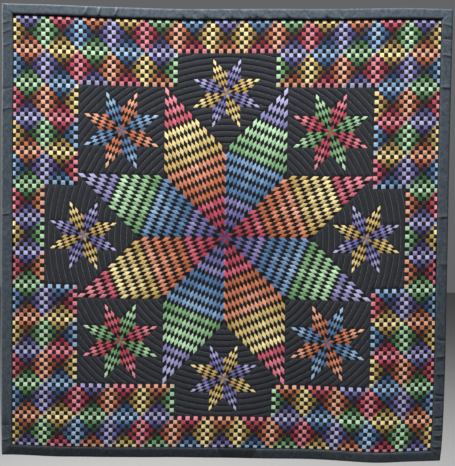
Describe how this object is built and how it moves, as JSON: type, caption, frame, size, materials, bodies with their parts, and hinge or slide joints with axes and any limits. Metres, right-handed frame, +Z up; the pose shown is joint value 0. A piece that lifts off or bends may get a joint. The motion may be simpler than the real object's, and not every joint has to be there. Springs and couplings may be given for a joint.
{
  "type": "hanging patchwork star quilt",
  "caption": "Square patchwork star quilt with a raised quilted face and a wide padded slate binding, hanging flat by its top edge.",
  "frame": {"origin": "middle of the quilt's top edge, at half its thickness", "axes": "+Z up, +X to the right seen from the front, and the pieced front faces -Y"},
  "size_m": [1.5159, 0.0421, 1.5378],
  "materials": {
    "patchwork_cotton": "matte pieced and quilted cotton in many dyed colours on black",
    "binding_cotton": "matte slate grey cotton, softly filled"
  },
  "bodies": {
    "root": {"quilted_panel": "patchwork_cotton", "binding_top": "binding_cotton", "binding_right": "binding_cotton", "binding_bottom": "binding_cotton", "binding_left": "binding_cotton"}
  },
  "joints": []
}
